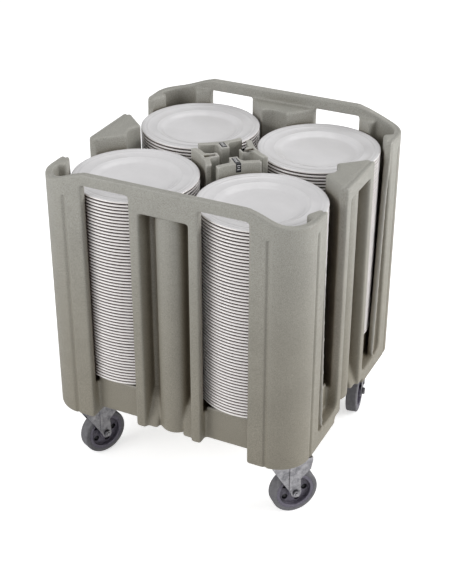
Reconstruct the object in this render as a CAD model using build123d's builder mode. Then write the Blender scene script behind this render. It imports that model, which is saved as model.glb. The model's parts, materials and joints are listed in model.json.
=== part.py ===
"""Plate dispenser cart: a moulded tub on four swivel casters, four plate wells and four sliding dividers.

Millimetres. +Z up, origin on the floor under the middle of the cart, front face towards -Y.
"""
from build123d import *
import os
from math import atan2, cos, degrees, hypot, radians, sin, sqrt

# ---------------------------------------------------------------- moulded body
BODY_WIDTH = 720.0          # square plan, outer faces
BODY_BOTTOM = 190.0         # underside of the corner modules above the floor
BODY_HEIGHT = 708.0         # corner underside to the top of the rail
CORNER_RADIUS = 88.0        # outer rounding of the plan
WALL = 20.0                 # corner shell and rail thickness
SKIN = 6.0                  # plastic thickness round the hollow parts
DECK_RISE = 101.0           # deck that the stacks stand on, above the corner underside
SILL_HEIGHT = 14.0          # sills stand this far above the deck
SILL_THICKNESS = 8.0
SKIRT_LIFT = 17.0           # skirts end this far above the corner modules
SKIRT_DEPTH = 32.0          # bays lie this far behind the outer faces
SIDE_SKIRT_RISE = 42.0      # side skirts are flush, up to this far above the corner underside
SIDE_SKIRT_ROUND = 24.0     # lower corners of the side bays
SIDE_SKIRT_THICKNESS = 40.0
TOWER_FOOT = 102.0          # side skirts keep the corner's underside as far as this from the middle
SHOULDER_DROP = 32.0        # towers, bosses and posts end this far below the rail
CASTER_PAD = 20.0           # solid floor of a corner module, for the caster bolts

JAMB_INSET = 138.0          # windows and slots end this far in from the next outer face
JAMB_REVEAL = 22.0          # straight reveal of a window edge
POST_DEPTH = 38.0           # jamb posts reach this far into the cart
POST_INSET = 108.0          # flat of a post, this far in from the next outer face
POST_FLAT = 10.0
SCOOP_INSET = 162.0         # rail leaves its full height this far in from the next outer face
SCOOP_RUN = 136.0           # and reaches the shoulder over this length
GROOVE_WIDTH = 5.0
GROOVE_DEPTH = 5.0
GROOVE_STOP = 68.0          # grooves end this far below the rail

MULLION_INNER = 66.0        # ribs start this far from the middle of a face
MULLION_WIDTH = 27.0
COLUMN_RADIUS = 42.0
COLUMN_SETBACK = 10.0       # front of the column behind the outer face
FLUTE_DEPTH = 48.0          # flutes each side of the half-round column
FLUTE_DRAFT = 6.0
FLUTE_STOP = 72.0           # flutes end this far below the rail
TOE_DEPTH = 27.0            # flutes are this shallow near their foot
TOE_HEIGHT = 53.0           # up to this far above the corner underside
FLANK_NEAR_SPREAD = 84.0    # flank of a boss: half width near the outer face ...
FLANK_NEAR_DEPTH = 30.0     # ... and its depth there
FLANK_FAR_SPREAD = 42.0
FLANK_FAR_DEPTH = 76.0
NOSE_SPREAD = 38.0
NOSE_DEPTH = 84.0
NOSE_DISH = 16.0            # hollow of the nose towards the cart's middle
CORE_HALF_WIDTH = 38.0      # hollow behind the column
CORE_FAR = 62.0

# ---------------------------------------------------------------- plate stacks
STACK_GAP = 25.0            # between the rims of the left and right stacks
STACK_MARGIN_X = 25.5       # from the rims to the outer side faces
STACK_MARGIN_Y = 20.5       # from the rims to the front and rear faces
PLATE_COUNT = 60
PLATE_PITCH = 8.8           # nested height of one plate
LIP_HEIGHT = 23.0           # rim top above the foot
LIP_THICKNESS = 5.0
LIP_ROUND = 2.0
RIM_WIDTH = 51.0            # from the flare to the edge
FLARE_WIDTH = 13.0          # from the well to the rim
FOOT_INSET = 5.0            # foot ring inside the well
FOOT_WIDTH = 6.0
FOOT_HEIGHT = 3.0
FLARE_HEIGHT = 17.0
FLARE_THICKNESS = 6.5

# ---------------------------------------------------------------- sliding dividers
DIVIDER_HEIGHT = 564.0
DIVIDER_INNER = 30.0        # inner end from the cart's middle, along the diagonal
DIVIDER_STEM = 22.0         # width of the stem
DIVIDER_GAP = 14.0          # radial gap between the concave face and the plates
DIVIDER_WING = 15.0         # thickness of the curved wing
DIVIDER_FLARE = 12.0        # stem widens by this much into the wing, each side
DIVIDER_HALF_SPAN = 58.0
TRAVEL_IN = 6.0             # slide towards the cart's middle
TRAVEL_OUT = 12.0           # slide towards the plates
POCKET_WIDTH = 14.0
POCKET_DEPTH = 14.0
POCKET_MARGIN = 6.0         # from the ends of the stem
LABEL_CLEARANCE = 0.2
TONGUE_LENGTH = 24.0
TONGUE_WIDTH = 14.0
TONGUE_START = 36.0
FOOT_PLATE_MARGIN = 8.0
FOOT_PLATE_THICKNESS = 4.0
SLIDE_GAP = 0.3

# ---------------------------------------------------------------- casters
CASTER_INSET_X = 75.0       # swivel axes, in from the side faces
CASTER_INSET_Y = 85.0       # and in from the front and rear faces
WHEEL_RADIUS = 63.5
WHEEL_WIDTH = 32.0
TRAIL = 32.0
TREAD_DEPTH = 11.5
TREAD_ROUND = 5.0
RIM_DEPTH = 9.0
WEB_THICKNESS = 10.0
HUB_RADIUS = 18.0
HUB_WIDTH = 38.0
CORE_HOLES = 5
CORE_HOLE_RADIUS = 8.0
CORE_HOLE_DISTANCE = 30.5
SLEEVE_RADIUS = 8.0
AXLE_RADIUS = 5.0
RUNNING_GAP = 0.05
SIDE_GAP = 0.3
LEG_THICKNESS = 3.0
LEG_BOSS = 14.0
CROWN_THICKNESS = 4.0
CROWN_FRONT = 36.0          # crown ahead of the swivel axis
CROWN_BACK = 77.0           # and behind it, over the wheel
CROWN_RISE = 103.5          # crown top above the axle
LEG_SHOULDER = 92.0         # straight top band of a leg starts here, above the axle
LEG_CHEEK_REACH = 72.0      # trailing edge of a leg: behind the swivel axis ...
LEG_CHEEK_RISE = 68.0       # ... and above the axle
LEG_WAIST_REACH = 44.0
LEG_WAIST_RISE = 42.0
LEG_RIB_WIDTH = 8.0
LEG_RIB_HEIGHT = 2.5
LEG_RIB_AT = 16.0           # ahead of the axle
HEX_HALF = 8.5
NUT_HEIGHT = 7.0
BOLT_END = 2.0
RACE_RADIUS = 34.0
RACE_GROOVE = 2.0
KINGPIN_RADIUS = 7.0
KINGPIN_HEAD_RADIUS = 12.0
KINGPIN_HEAD = 5.0
TOP_PLATE_LENGTH = 95.0
TOP_PLATE_WIDTH = 75.0
TOP_PLATE_THICKNESS = 4.0
TOP_PLATE_ROUND = 8.0
BOLT_SPACING_X = 75.0
BOLT_SPACING_Y = 55.0
BOLT_RADIUS = 4.0
BOLT_LENGTH = 14.0
BOLT_HEAD_HALF = 6.5
BOLT_HEAD_HEIGHT = 5.0

CORNERS = {                 # side along X, side along Y
    "front_left": (-1, -1),
    "front_right": (1, -1),
    "rear_right": (1, 1),
    "rear_left": (-1, 1),
}
WHEEL_ANGLES = {            # heading of each trailing wheel, in degrees
    "front_left": 64.0,
    "front_right": 47.0,
    "rear_right": -80.0,
    "rear_left": -60.0,
}
LABELLED = ("front_right", "rear_left")

# ---------------------------------------------------------------- worked out
HALF = BODY_WIDTH / 2
RAIL_TOP = BODY_BOTTOM + BODY_HEIGHT
SHOULDER = RAIL_TOP - SHOULDER_DROP
DECK = BODY_BOTTOM + DECK_RISE
CORNER_CENTRE = HALF - CORNER_RADIUS
INNER_FACE = HALF - WALL
SKIRT_BOTTOM = BODY_BOTTOM + SKIRT_LIFT
SIDE_SKIRT_TOP = BODY_BOTTOM + SIDE_SKIRT_RISE
JAMB_EDGE = HALF - JAMB_INSET
POST_NEAR = HALF - POST_INSET
POST_FAR = POST_NEAR + POST_FLAT
SCOOP_START = HALF - SCOOP_INSET
SCOOP_END = SCOOP_START + SCOOP_RUN
MULLION_OUTER = MULLION_INNER + MULLION_WIDTH
CORE_NEAR = FLUTE_DEPTH + SKIN
PLATE_RADIUS = (HALF - STACK_MARGIN_X - STACK_GAP / 2) / 2
WELL_RADIUS = PLATE_RADIUS - RIM_WIDTH - FLARE_WIDTH
STACK_X = PLATE_RADIUS + STACK_GAP / 2
STACK_Y = HALF - STACK_MARGIN_Y - PLATE_RADIUS
STACK_DISTANCE = hypot(STACK_X, STACK_Y)
DIVIDER_FACE_RADIUS = PLATE_RADIUS + DIVIDER_GAP
DIVIDER_FACE = STACK_DISTANCE - DIVIDER_FACE_RADIUS
POCKET_LENGTH = DIVIDER_FACE - DIVIDER_INNER - 2 * POCKET_MARGIN
POCKET_MIDDLE = (DIVIDER_FACE + DIVIDER_INNER) / 2
TRACK_LENGTH = TONGUE_LENGTH + TRAVEL_IN + TRAVEL_OUT + 2 * SLIDE_GAP
TRACK_MIDDLE = TONGUE_START + (TONGUE_LENGTH + TRAVEL_OUT - TRAVEL_IN) / 2
LEG_INNER = HUB_WIDTH / 2 + SIDE_GAP
LEG_OUTER = LEG_INNER + LEG_THICKNESS
CROWN_TOP = WHEEL_RADIUS + CROWN_RISE
PLATE_BOTTOM = BODY_BOTTOM - TOP_PLATE_THICKNESS
CASTER_X = HALF - CASTER_INSET_X
CASTER_Y = HALF - CASTER_INSET_Y
FACE_TURNS = {"front": 0.0, "right": 90.0, "rear": 180.0, "left": 270.0}


def save(part, label):
    """Label a finished piece and write it under its node name."""
    part.label = label
    export_step(part, f"parts/{label}.step")


def level(height, turn=0.0, x=0.0, y=0.0):
    """Horizontal plane at a height, its X axis turned about Z."""
    heading = radians(turn)
    return Plane(origin=(x, y, height), x_dir=(cos(heading), sin(heading), 0), z_dir=(0, 0, 1))


def upright(turn):
    """Vertical plane through the middle of the cart, seen from the face at a turn, Y axis up."""
    heading = radians(turn)
    return Plane(origin=(0, 0, 0), x_dir=(cos(heading), sin(heading), 0),
                 z_dir=(sin(heading), -cos(heading), 0))


# ---------------------------------------------------------------- body
def column_line(flute_depth):
    """Plan of one boss or tower: ribs, flutes and column in front, flanks and dished nose behind."""
    face = -HALF
    centre = face + COLUMN_SETBACK + COLUMN_RADIUS
    valley = face + flute_depth
    toe = MULLION_INNER - FLUTE_DRAFT * flute_depth / FLUTE_DEPTH
    reach = sqrt(COLUMN_RADIUS ** 2 - (centre - valley) ** 2)
    flank = [(MULLION_OUTER, face), (MULLION_OUTER, face + JAMB_REVEAL),
             (FLANK_NEAR_SPREAD, face + FLANK_NEAR_DEPTH), (FLANK_FAR_SPREAD, face + FLANK_FAR_DEPTH),
             (NOSE_SPREAD, face + NOSE_DEPTH)]
    with BuildLine() as line:
        Polyline((reach, valley), (toe, valley), (MULLION_INNER, face), *flank)
        ThreePointArc(flank[-1], (0, face + NOSE_DEPTH - NOSE_DISH), (-NOSE_SPREAD, face + NOSE_DEPTH))
        Polyline(*[(-u, v) for u, v in reversed(flank)], (-MULLION_INNER, face), (-toe, valley),
                 (-reach, valley))
        ThreePointArc((-reach, valley), (0, face + COLUMN_SETBACK), (reach, valley))
    return line.line


def column(turn):
    """One boss or tower on the deck, hollow behind the column, its flutes closed near the top."""
    flute_top = RAIL_TOP - FLUTE_STOP
    with BuildPart() as solid:
        with BuildSketch(level(DECK, turn)):
            with BuildLine():
                add(column_line(FLUTE_DEPTH))
            make_face()
        extrude(amount=SHOULDER - DECK)
        with BuildSketch(level(flute_top, turn)):
            with Locations((0, -HALF + FLUTE_DEPTH / 2)):
                Rectangle(2 * MULLION_INNER, FLUTE_DEPTH)
        extrude(amount=SHOULDER - flute_top)
        with BuildSketch(level(DECK, turn)):
            with Locations((0, -HALF + (CORE_NEAR + CORE_FAR) / 2)):
                Rectangle(2 * CORE_HALF_WIDTH, CORE_FAR - CORE_NEAR)
        extrude(amount=SHOULDER - SKIN - DECK, mode=Mode.SUBTRACT)
    return solid.part


def corner_line(side):
    """Plan of a corner shell: outer rounding, two window reveals and two jamb posts."""
    jamb = [(CORNER_CENTRE, HALF), (JAMB_EDGE, HALF), (JAMB_EDGE, HALF - JAMB_REVEAL),
            (POST_NEAR, HALF - POST_DEPTH), (POST_FAR, HALF - POST_DEPTH), (CORNER_CENTRE, INNER_FACE)]
    mirrored = [(v, u) for u, v in jamb]
    diagonal = sin(radians(45))
    inner_middle = CORNER_CENTRE + diagonal * (CORNER_RADIUS - WALL)
    outer_middle = CORNER_CENTRE + diagonal * CORNER_RADIUS

    def place(*points):
        return [(side * u, -v) for u, v in points]

    with BuildLine() as line:
        Polyline(*place(*jamb))
        ThreePointArc(*place(jamb[-1], (inner_middle, inner_middle), mirrored[-1]))
        Polyline(*place(*reversed(mirrored)))
        ThreePointArc(*place(mirrored[0], (outer_middle, outer_middle), jamb[0]))
    return line.line


def scoop_line(side):
    """Region above the rim, which falls from the rail to the shoulder, seen from the front."""
    top = RAIL_TOP + WALL
    outside = HALF + WALL
    with BuildLine() as line:
        Spline((side * SCOOP_START, RAIL_TOP), (side * SCOOP_END, SHOULDER),
               tangents=[(side, 0), (side, 0)])
        Polyline((side * SCOOP_END, SHOULDER), (side * outside, SHOULDER), (side * outside, top),
                 (side * SCOOP_START, top), (side * SCOOP_START, RAIL_TOP))
    return line.line


def groove_marks(side):
    """Places and plan sizes of the two shallow grooves of a corner, one on each face."""
    return [((side * CORNER_CENTRE, -HALF), (GROOVE_WIDTH, 2 * GROOVE_DEPTH)),
            ((side * HALF, -CORNER_CENTRE), (2 * GROOVE_DEPTH, GROOVE_WIDTH))]


def post_marks(side):
    """Places and plan sizes of the two jamb posts of a corner, behind its shell."""
    along = (JAMB_EDGE + CORNER_CENTRE) / 2
    width = CORNER_CENTRE - JAMB_EDGE
    behind = INNER_FACE - WALL / 2
    return [((side * along, -behind), (width, WALL)), ((side * behind, -along), (WALL, width))]


def end_wall(turn, label):
    """Front or rear wall: two corner shells, the boss between them and the rail across the top."""
    with BuildPart() as wall:
        for side in (-1, 1):
            with BuildSketch(level(DECK, turn)):
                with BuildLine():
                    add(corner_line(side))
                make_face()
            extrude(amount=RAIL_TOP - DECK)
            with BuildSketch(upright(turn)):
                with BuildLine():
                    add(scoop_line(side))
                make_face()
            extrude(amount=HALF + WALL, mode=Mode.SUBTRACT)
            for mark, size in post_marks(side):
                with BuildSketch(level(SHOULDER, turn)):
                    with Locations(mark):
                        Rectangle(*size)
                extrude(amount=SHOULDER_DROP, mode=Mode.SUBTRACT)
            for mark, size in groove_marks(side):
                with BuildSketch(level(DECK, turn)):
                    with Locations(mark):
                        Rectangle(*size)
                extrude(amount=RAIL_TOP - GROOVE_STOP - DECK, mode=Mode.SUBTRACT)
        with BuildSketch(level(SHOULDER, turn)):
            with Locations((0, -HALF + WALL / 2)):
                Rectangle(2 * JAMB_EDGE, WALL)
        extrude(amount=SHOULDER_DROP)
        add(column(turn))
    save(wall.part, label)


def bay_marks(depth, thickness):
    """Middles of the two window bays of a face, for a strip that starts at a depth."""
    middle = (MULLION_OUTER + JAMB_EDGE) / 2
    return [(side * middle, -HALF + depth + thickness / 2) for side in (-1, 1)]


def divider_turn(corner):
    """Heading of the diagonal that a divider slides along."""
    side_x, side_y = CORNERS[corner]
    return degrees(atan2(side_y * STACK_Y, side_x * STACK_X))


def base(label):
    """Lower body: corner modules, skirts, sills and the feet of the columns, hollow under the deck."""
    bay = JAMB_EDGE - MULLION_OUTER
    bay_middle = (MULLION_OUTER + JAMB_EDGE) / 2
    cavity = HALF - CORE_FAR
    corner_inner = JAMB_EDGE + SKIN
    with BuildPart() as body:
        with BuildSketch(Plane.XY.offset(BODY_BOTTOM)):
            RectangleRounded(BODY_WIDTH, BODY_WIDTH, CORNER_RADIUS)
        extrude(amount=DECK_RISE)
        with BuildSketch(Plane.XY.offset(BODY_BOTTOM)):
            Rectangle(BODY_WIDTH, 2 * TOWER_FOOT)
            Rectangle(BODY_WIDTH - 2 * SIDE_SKIRT_THICKNESS, 2 * JAMB_EDGE)
            Rectangle(2 * JAMB_EDGE, BODY_WIDTH)
        extrude(amount=SKIRT_LIFT, mode=Mode.SUBTRACT)
        for turn in (FACE_TURNS["front"], FACE_TURNS["rear"]):
            with BuildSketch(level(SKIRT_BOTTOM, turn)):
                with Locations(*bay_marks(0, SKIRT_DEPTH)):
                    Rectangle(bay, SKIRT_DEPTH)
            extrude(amount=DECK - SKIRT_BOTTOM, mode=Mode.SUBTRACT)
        for turn in (FACE_TURNS["left"], FACE_TURNS["right"]):
            with BuildSketch(upright(turn).offset(HALF - SKIRT_DEPTH)):
                with Locations((-bay_middle, DECK), (bay_middle, DECK)):
                    RectangleRounded(bay, 2 * (DECK - SIDE_SKIRT_TOP), SIDE_SKIRT_ROUND)
            extrude(amount=SKIRT_DEPTH, mode=Mode.SUBTRACT)
        toe_top = BODY_BOTTOM + TOE_HEIGHT
        for turn in FACE_TURNS.values():
            with BuildSketch(level(DECK, turn)):
                with Locations(*bay_marks(SKIRT_DEPTH, SILL_THICKNESS)):
                    Rectangle(bay, SILL_THICKNESS)
            extrude(amount=SILL_HEIGHT)
            for depth, low, high in ((TOE_DEPTH, SKIRT_BOTTOM, toe_top), (FLUTE_DEPTH, toe_top, DECK)):
                with BuildSketch(level(low, turn)):
                    with Locations((0, -HALF + depth / 2)):
                        Rectangle(2 * MULLION_INNER, depth)
                    with BuildLine():
                        add(column_line(depth))
                    make_face(mode=Mode.SUBTRACT)
                extrude(amount=high - low, mode=Mode.SUBTRACT)
        for turn in (FACE_TURNS["front"], FACE_TURNS["rear"]):
            for mark, size in groove_marks(-1) + groove_marks(1):
                with BuildSketch(level(BODY_BOTTOM, turn)):
                    with Locations(mark):
                        Rectangle(*size)
                extrude(amount=DECK_RISE, mode=Mode.SUBTRACT)
        with BuildSketch(Plane.XY.offset(SKIRT_BOTTOM + SKIN)):
            Rectangle(2 * cavity, 2 * cavity)
        extrude(amount=DECK - SKIN - SKIRT_BOTTOM - SKIN, mode=Mode.SUBTRACT)
        hollow_radius = CORNER_RADIUS - GROOVE_DEPTH - SKIN
        hollow_size = CORNER_CENTRE + hollow_radius - corner_inner
        hollow_middle = corner_inner + hollow_size / 2
        for side_x, side_y in CORNERS.values():
            with BuildSketch(level(BODY_BOTTOM + CASTER_PAD)):
                with Locations((side_x * CORNER_CENTRE, side_y * CORNER_CENTRE)):
                    Circle(hollow_radius)
                with Locations((side_x * hollow_middle, side_y * hollow_middle)):
                    Rectangle(hollow_size, hollow_size, mode=Mode.INTERSECT)
            extrude(amount=DECK_RISE - SKIN - CASTER_PAD, mode=Mode.SUBTRACT)
        for corner in CORNERS:
            with BuildSketch(level(DECK - SKIN, divider_turn(corner))):
                with Locations((TRACK_MIDDLE, 0)):
                    Rectangle(TRACK_LENGTH, TONGUE_WIDTH + 2 * SLIDE_GAP)
            extrude(amount=SKIN, mode=Mode.SUBTRACT)
        for side_x, side_y in CORNERS.values():
            with BuildSketch(level(BODY_BOTTOM, 0.0, side_x * CASTER_X, side_y * CASTER_Y)):
                with GridLocations(BOLT_SPACING_X, BOLT_SPACING_Y, 2, 2):
                    Circle(BOLT_RADIUS)
            extrude(amount=BOLT_LENGTH, mode=Mode.SUBTRACT)
    save(body.part, label)


# ---------------------------------------------------------------- dividers
def divider(corner):
    """Post with a curved wing that follows its stack, standing on the deck."""
    turn = divider_turn(corner)
    back_radius = DIVIDER_FACE_RADIUS + DIVIDER_WING
    wing_back = DIVIDER_FACE - DIVIDER_WING
    wing_middle = DIVIDER_FACE - DIVIDER_WING / 2
    half_stem = DIVIDER_STEM / 2
    with BuildPart() as post:
        with BuildSketch(level(DECK, turn)):
            with Locations((STACK_DISTANCE, 0)):
                Circle(back_radius)
            with Locations((STACK_DISTANCE - back_radius / 2, 0)):
                Rectangle(back_radius, 2 * DIVIDER_HALF_SPAN, mode=Mode.INTERSECT)
            with Locations(((DIVIDER_INNER + DIVIDER_FACE) / 2, 0)):
                Rectangle(DIVIDER_FACE - DIVIDER_INNER, DIVIDER_STEM)
            with BuildLine():
                Polyline((wing_back - DIVIDER_FLARE, half_stem), (wing_middle, half_stem + DIVIDER_FLARE),
                         (wing_middle, -half_stem - DIVIDER_FLARE), (wing_back - DIVIDER_FLARE, -half_stem),
                         close=True)
            make_face()
            with Locations((STACK_DISTANCE, 0)):
                Circle(DIVIDER_FACE_RADIUS, mode=Mode.SUBTRACT)
        extrude(amount=DIVIDER_HEIGHT)
        with BuildSketch(level(DECK + DIVIDER_HEIGHT, turn)):
            with Locations((POCKET_MIDDLE, 0)):
                Rectangle(POCKET_LENGTH, POCKET_WIDTH)
        extrude(amount=-POCKET_DEPTH, mode=Mode.SUBTRACT)
    save(post.part, f"divider_{corner}")


def divider_tongue(corner):
    """Guide under a divider: a tab through the deck's track and a foot plate below the deck."""
    turn = divider_turn(corner)
    middle = TONGUE_START + TONGUE_LENGTH / 2
    foot_top = DECK - SKIN - SLIDE_GAP
    with BuildPart() as tongue:
        with BuildSketch(level(foot_top, turn)):
            with Locations((middle, 0)):
                Rectangle(TONGUE_LENGTH, TONGUE_WIDTH)
        extrude(amount=DECK - foot_top)
        with BuildSketch(level(foot_top, turn)):
            with Locations((middle, 0)):
                Rectangle(TONGUE_LENGTH, TONGUE_WIDTH + 2 * FOOT_PLATE_MARGIN)
        extrude(amount=-FOOT_PLATE_THICKNESS)
    save(tongue.part, f"divider_tongue_{corner}")


def size_label(corner):
    """Dark insert that fills the pocket in a divider's head."""
    with BuildPart() as insert:
        with BuildSketch(level(DECK + DIVIDER_HEIGHT - POCKET_DEPTH, divider_turn(corner))):
            with Locations((POCKET_MIDDLE, 0)):
                Rectangle(POCKET_LENGTH - 2 * LABEL_CLEARANCE, POCKET_WIDTH - 2 * LABEL_CLEARANCE)
        extrude(amount=POCKET_DEPTH)
    save(insert.part, f"size_label_{corner}")


# ---------------------------------------------------------------- plates
def plate_line():
    """Half section of a plate, from its middle out to the rim and back under to the foot ring."""
    foot_radius = WELL_RADIUS - FOOT_INSET
    foot_inner = foot_radius - FOOT_WIDTH
    flare_radius = WELL_RADIUS + FLARE_WIDTH
    rim_inner = PLATE_RADIUS - LIP_ROUND
    underside = LIP_HEIGHT - LIP_THICKNESS
    with BuildLine() as line:
        Polyline((0, FOOT_HEIGHT), (0, PLATE_PITCH), (WELL_RADIUS, PLATE_PITCH),
                 (flare_radius, FLARE_HEIGHT), (rim_inner, LIP_HEIGHT))
        ThreePointArc((rim_inner, LIP_HEIGHT), (PLATE_RADIUS, LIP_HEIGHT - LIP_THICKNESS / 2),
                      (rim_inner, underside))
        Polyline((rim_inner, underside), (flare_radius, FLARE_HEIGHT - FLARE_THICKNESS),
                 (WELL_RADIUS, FOOT_HEIGHT), (foot_radius, FOOT_HEIGHT), (foot_radius, 0),
                 (foot_inner, 0), (foot_inner, FOOT_HEIGHT), (0, FOOT_HEIGHT))
    return line.line


def plate_stack(corner):
    """Nested plates on the deck, each on the well of the one below."""
    side_x, side_y = CORNERS[corner]
    with BuildPart() as plate:
        with BuildSketch(Plane.XZ):
            with BuildLine():
                add(plate_line())
            make_face()
        revolve(axis=Axis.Z)
    places = [(side_x * STACK_X, side_y * STACK_Y, DECK + index * PLATE_PITCH)
              for index in range(PLATE_COUNT)]
    stack = Compound([Pos(*place) * plate.part.solid() for place in places])
    save(stack, f"plate_stack_{corner}")


# ---------------------------------------------------------------- casters
def caster(corner):
    """One swivel caster: plate and bolts, race, kingpin, fork, axle and wheel."""
    side_x, side_y = CORNERS[corner]
    pivot_x = side_x * CASTER_X
    pivot_y = side_y * CASTER_Y
    heading = radians(WHEEL_ANGLES[corner])
    ahead = Vector(cos(heading), sin(heading), 0)
    across = Vector(sin(heading), -cos(heading), 0)
    centre = Vector(pivot_x, pivot_y, WHEEL_RADIUS) + ahead * TRAIL

    def axle_plane(offset=0.0):
        return Plane(origin=centre + across * offset, x_dir=ahead, z_dir=across)

    def flat(height):
        return level(height, 0.0, pivot_x, pivot_y)

    with BuildPart() as top_plate:
        with BuildSketch(flat(PLATE_BOTTOM)):
            RectangleRounded(TOP_PLATE_LENGTH, TOP_PLATE_WIDTH, TOP_PLATE_ROUND)
            Circle(KINGPIN_RADIUS, mode=Mode.SUBTRACT)
            with GridLocations(BOLT_SPACING_X, BOLT_SPACING_Y, 2, 2):
                Circle(BOLT_RADIUS, mode=Mode.SUBTRACT)
        extrude(amount=TOP_PLATE_THICKNESS)
    save(top_plate.part, f"caster_{corner}_top_plate")

    with BuildPart() as bolts:
        with BuildSketch(flat(PLATE_BOTTOM)):
            with GridLocations(BOLT_SPACING_X, BOLT_SPACING_Y, 2, 2):
                Circle(BOLT_RADIUS)
        extrude(amount=TOP_PLATE_THICKNESS + BOLT_LENGTH)
        with BuildSketch(flat(PLATE_BOTTOM)):
            with GridLocations(BOLT_SPACING_X, BOLT_SPACING_Y, 2, 2):
                RegularPolygon(BOLT_HEAD_HALF, 6, major_radius=False)
        extrude(amount=-BOLT_HEAD_HEIGHT)
    save(bolts.part, f"caster_{corner}_mount_bolts")

    race_bottom = CROWN_TOP + SIDE_GAP
    race_height = PLATE_BOTTOM - race_bottom
    with BuildPart() as race:
        with BuildSketch(flat(race_bottom)):
            Circle(RACE_RADIUS)
            Circle(KINGPIN_RADIUS, mode=Mode.SUBTRACT)
        extrude(amount=race_height)
        with BuildSketch(flat(race_bottom + race_height / 3)):
            Circle(RACE_RADIUS + RACE_GROOVE)
            Circle(RACE_RADIUS - RACE_GROOVE, mode=Mode.SUBTRACT)
        extrude(amount=race_height / 3, mode=Mode.SUBTRACT)
    save(race.part, f"caster_{corner}_ball_race")

    head_top = CROWN_TOP - CROWN_THICKNESS - SIDE_GAP
    with BuildPart() as kingpin:
        with BuildSketch(flat(head_top)):
            Circle(KINGPIN_RADIUS)
        extrude(amount=BODY_BOTTOM - head_top)
        with BuildSketch(flat(head_top)):
            Circle(KINGPIN_HEAD_RADIUS)
        extrude(amount=-KINGPIN_HEAD)
    save(kingpin.part, f"caster_{corner}_kingpin")

    crown_under = CROWN_RISE - CROWN_THICKNESS
    front = -CROWN_FRONT - TRAIL
    back = CROWN_BACK - TRAIL
    leg_points = [(-LEG_BOSS, 0), (front, LEG_SHOULDER), (front, CROWN_RISE), (back, CROWN_RISE),
                  (back, LEG_SHOULDER), (LEG_CHEEK_REACH - TRAIL, LEG_CHEEK_RISE),
                  (LEG_WAIST_REACH - TRAIL, LEG_WAIST_RISE), (LEG_BOSS, 0)]
    with BuildPart() as fork:
        with BuildSketch(axle_plane(-LEG_OUTER)):
            with Locations(((front + back) / 2, CROWN_RISE - CROWN_THICKNESS / 2)):
                Rectangle(back - front, CROWN_THICKNESS)
        extrude(amount=2 * LEG_OUTER)
        for start in (-LEG_OUTER, LEG_INNER):
            with BuildSketch(axle_plane(start)):
                with BuildLine():
                    Polyline(*leg_points, close=True)
                make_face()
                Circle(LEG_BOSS)
                Circle(AXLE_RADIUS, mode=Mode.SUBTRACT)
            extrude(amount=LEG_THICKNESS)
        for start in (-LEG_OUTER - LEG_RIB_HEIGHT, LEG_OUTER):
            rib_bottom = LEG_BOSS
            with BuildSketch(axle_plane(start)):
                with Locations((-LEG_RIB_AT, (rib_bottom + crown_under) / 2)):
                    Rectangle(LEG_RIB_WIDTH, crown_under - rib_bottom)
            extrude(amount=LEG_RIB_HEIGHT)
        with BuildSketch(flat(CROWN_TOP)):
            Circle(KINGPIN_RADIUS + RUNNING_GAP)
        extrude(amount=-CROWN_THICKNESS, mode=Mode.SUBTRACT)
    save(fork.part, f"caster_{corner}_fork")

    with BuildPart() as axle:
        with BuildSketch(axle_plane(-LEG_OUTER)):
            Circle(AXLE_RADIUS)
        extrude(amount=2 * LEG_OUTER + NUT_HEIGHT + BOLT_END)
        with BuildSketch(axle_plane(-LEG_OUTER - NUT_HEIGHT)):
            RegularPolygon(HEX_HALF, 6, major_radius=False)
        extrude(amount=NUT_HEIGHT)
    save(axle.part, f"caster_{corner}_axle_bolt")

    with BuildPart() as nut:
        with BuildSketch(axle_plane(LEG_OUTER)):
            RegularPolygon(HEX_HALF, 6, major_radius=False)
            Circle(AXLE_RADIUS, mode=Mode.SUBTRACT)
        extrude(amount=NUT_HEIGHT)
    save(nut.part, f"caster_{corner}_axle_nut")

    with BuildPart() as sleeve:
        with BuildSketch(axle_plane(-HUB_WIDTH / 2)):
            Circle(SLEEVE_RADIUS)
            Circle(AXLE_RADIUS + RUNNING_GAP, mode=Mode.SUBTRACT)
        extrude(amount=HUB_WIDTH)
    save(sleeve.part, f"caster_{corner}_bearing_sleeve")

    rim_radius = WHEEL_RADIUS - TREAD_DEPTH
    rings = ((rim_radius, rim_radius - RIM_DEPTH, WHEEL_WIDTH),
             (rim_radius - RIM_DEPTH, HUB_RADIUS, WEB_THICKNESS),
             (HUB_RADIUS, SLEEVE_RADIUS, HUB_WIDTH))
    with BuildPart() as wheel:
        for outer, inner, width in rings:
            with BuildSketch(axle_plane(-width / 2)):
                Circle(outer)
                Circle(inner, mode=Mode.SUBTRACT)
            extrude(amount=width)
        with BuildSketch(axle_plane(-WEB_THICKNESS / 2)):
            with PolarLocations(CORE_HOLE_DISTANCE, CORE_HOLES):
                Circle(CORE_HOLE_RADIUS)
        extrude(amount=WEB_THICKNESS, mode=Mode.SUBTRACT)
    save(wheel.part, f"caster_{corner}_wheel_core")

    with BuildPart() as tread:
        with BuildSketch(axle_plane(-WHEEL_WIDTH / 2)):
            Circle(WHEEL_RADIUS)
            Circle(rim_radius, mode=Mode.SUBTRACT)
        extrude(amount=WHEEL_WIDTH)
        outer_edges = tread.edges().filter_by(GeomType.CIRCLE).sort_by(lambda edge: edge.radius)[-2:]
        fillet(outer_edges, radius=TREAD_ROUND)
    save(tread.part, f"caster_{corner}_tread")


os.makedirs("parts", exist_ok=True)
base("body_base")
end_wall(FACE_TURNS["front"], "body_front_wall")
end_wall(FACE_TURNS["rear"], "body_rear_wall")
for name in ("left", "right"):
    save(column(FACE_TURNS[name]), f"body_{name}_tower")
for name in CORNERS:
    divider(name)
    divider_tongue(name)
    plate_stack(name)
    caster(name)
for name in LABELLED:
    size_label(name)
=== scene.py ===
"""Looks of the plate dispenser cart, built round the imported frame: moulded tub, plates, dividers, casters."""
import json
from functools import reduce
from math import cos, pi, radians, sin, sqrt

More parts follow.
